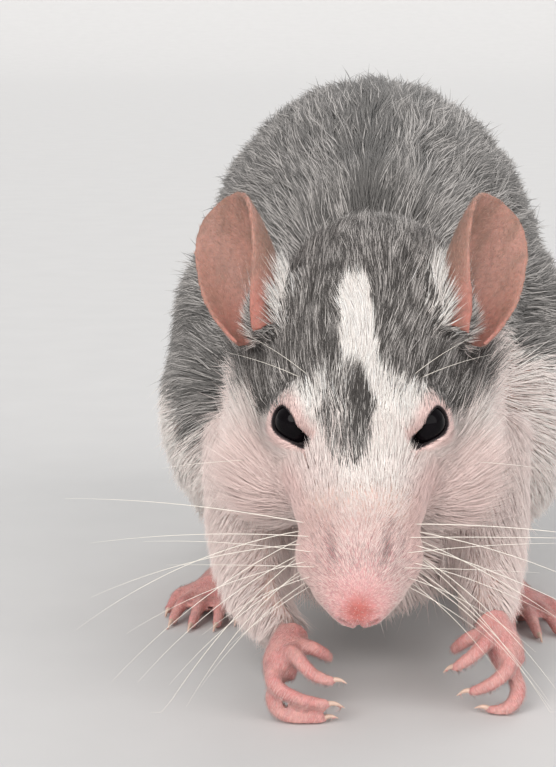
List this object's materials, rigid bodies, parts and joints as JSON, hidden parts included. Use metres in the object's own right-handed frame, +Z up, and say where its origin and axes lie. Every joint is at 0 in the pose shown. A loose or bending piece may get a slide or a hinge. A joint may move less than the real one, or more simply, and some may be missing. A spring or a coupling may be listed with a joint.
{
  "type": "pet rat",
  "caption": "Life-size still model of a pet rat, crouched with its forepaws held together under a lowered muzzle, ears raised and tail along the floor.",
  "frame": {"origin": "middle of the underside of the overall box, at floor level", "axes": "the rat faces -Y and its tail runs out along +Y; +Z is up and +X is the rat's own left"},
  "size_m": [0.0734, 0.3334, 0.0878],
  "materials": {
    "grey_coat": "matt short grey fur ticked with white",
    "white_coat": "matt short cream-white fur",
    "pink_skin": "soft pink skin with a faint sheen",
    "ear_skin": "thin salmon-pink skin with down",
    "eye": "wet, glossy black",
    "tail_skin": "ringed pinkish skin with fine hairs"
  },
  "bodies": {
    "root": {"head": "grey_coat", "muzzle": "white_coat", "lower_jaw": "white_coat", "ear_left": "ear_skin", "ear_right": "ear_skin", "eye_left": "eye", "eye_right": "eye", "neck": "grey_coat", "torso": "grey_coat", "foreleg_left": "white_coat", "foreleg_right": "white_coat", "forepaw_left": "pink_skin", "forepaw_right": "pink_skin", "thigh_left": "white_coat", "thigh_right": "white_coat", "hind_foot_left": "pink_skin", "hind_foot_right": "pink_skin", "tail_base": "tail_skin", "tail_middle": "tail_skin", "tail_tip": "tail_skin"}
  },
  "joints": []
}
